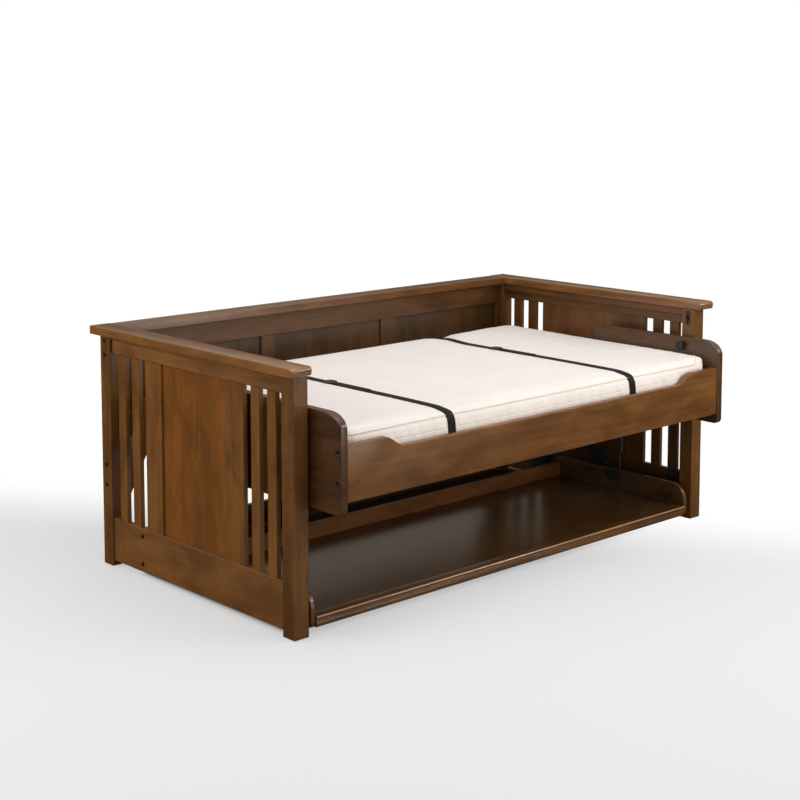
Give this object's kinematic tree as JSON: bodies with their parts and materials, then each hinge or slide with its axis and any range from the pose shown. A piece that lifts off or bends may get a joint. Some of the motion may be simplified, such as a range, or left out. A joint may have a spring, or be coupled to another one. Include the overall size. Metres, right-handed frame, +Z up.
{
  "type": "desk bed",
  "caption": "Slatted daybed frame with a bed that folds up against the back and lifts a level desk from under it.",
  "frame": {"origin": "on the floor, under the middle of the whole outline", "axes": "+X to the right along the bed's length, +Y to the panelled back, +Z up"},
  "size_m": [2.16, 1.284, 0.885],
  "materials": {
    "frame_wood": "satin",
    "cap_wood": "satin",
    "panel_wood": "satin",
    "desk_wood": "gloss",
    "dark_steel": "satin",
    "spring_steel": "satin",
    "black_hardware": "satin",
    "knob_plastic": "matte",
    "buckle_plastic": "matte",
    "glide_nylon": "matte",
    "mattress_cover": "matte",
    "webbing": "matte"
  },
  "bodies": {
    "root": {"post_front_left": "frame_wood", "post_front_right": "frame_wood", "post_rear_left": "frame_wood", "post_rear_right": "frame_wood", "cap_left": "cap_wood", "cap_right": "cap_wood", "cap_back": "cap_wood", "top_rail_left": "frame_wood", "top_rail_right": "frame_wood", "bottom_rail_left": "frame_wood", "bottom_rail_right": "frame_wood", "cleats": "frame_wood", "stiles_left": "frame_wood", "stiles_right": "frame_wood", "slats_left": "frame_wood", "slats_right": "frame_wood", "panel_left": "panel_wood", "panel_right": "panel_wood", "back_top_rail": "frame_wood", "back_bottom_rail": "frame_wood", "back_stiles": "frame_wood", "back_panels": "panel_wood", "back_stretcher": "frame_wood", "gussets": "frame_wood", "pivot_plates": "dark_steel", "pivot_pins": "dark_steel", "lock_plates": "black_hardware", "anchor_plates": "dark_steel", "frame_bolts": "black_hardware", "glides": "glide_nylon"},
    "bed": {"bed_front_rail": "frame_wood", "bed_rear_rail": "frame_wood", "bed_end_left": "frame_wood", "bed_end_right": "frame_wood", "bed_deck": "panel_wood", "bed_battens": "panel_wood", "bed_bolts": "black_hardware", "mattress": "mattress_cover", "strap_left": "webbing", "strap_right": "webbing", "strap_buckles": "buckle_plastic", "arm_left": "dark_steel", "arm_right": "dark_steel", "arm_spring_left": "spring_steel", "arm_spring_right": "spring_steel", "spring_brackets": "dark_steel"},
    "desk": {"desk_top": "desk_wood", "desk_nose": "desk_wood", "desk_side_left": "desk_wood", "desk_side_right": "desk_wood", "desk_back": "desk_wood", "desk_battens": "desk_wood", "desk_pins": "dark_steel"},
    "bed_lock_left": {"bed_lock_left": "knob_plastic"},
    "bed_lock_right": {"bed_lock_right": "knob_plastic"},
    "desk_lock_left": {"desk_lock_left": "knob_plastic"},
    "desk_lock_right": {"desk_lock_right": "knob_plastic"},
    "link_left": {"link_left": "dark_steel"},
    "link_right": {"link_right": "dark_steel"}
  },
  "joints": [
    {"name": "bed_fold", "type": "hinge", "parent": "root", "child": "bed", "pos_m": [0, 0.232, 0.506], "axis": [-1, 0, 0], "range_deg": [0, 90]},
    {"name": "desk_level", "type": "hinge", "parent": "bed", "child": "desk", "pos_m": [0, -0.108, 0.115], "axis": [1, 0, 0], "range_deg": [0, 90]},
    {"name": "link_left_turn", "type": "hinge", "parent": "root", "child": "link_left", "pos_m": [-1.0025, 0.212, 0.436], "axis": [-1, 0, 0], "range_deg": [0, 90]},
    {"name": "link_right_turn", "type": "hinge", "parent": "root", "child": "link_right", "pos_m": [1.0025, 0.212, 0.436], "axis": [-1, 0, 0], "range_deg": [0, 90]},
    {"name": "bed_lock_left_slide", "type": "slide", "parent": "bed", "child": "bed_lock_left", "axis": [-1, 0, 0], "range_m": [0, 0.01]},
    {"name": "bed_lock_right_slide", "type": "slide", "parent": "bed", "child": "bed_lock_right", "axis": [1, 0, 0], "range_m": [0, 0.01]},
    {"name": "desk_lock_left_slide", "type": "slide", "parent": "desk", "child": "desk_lock_left", "axis": [-1, 0, 0], "range_m": [0, 0.012]},
    {"name": "desk_lock_right_slide", "type": "slide", "parent": "desk", "child": "desk_lock_right", "axis": [1, 0, 0], "range_m": [0, 0.012]}
  ],
  "couplings": [
    {"joint": "desk_level", "follows": "bed_fold", "ratio": 1},
    {"joint": "link_left_turn", "follows": "bed_fold", "ratio": 1},
    {"joint": "link_right_turn", "follows": "bed_fold", "ratio": 1}
  ]
}
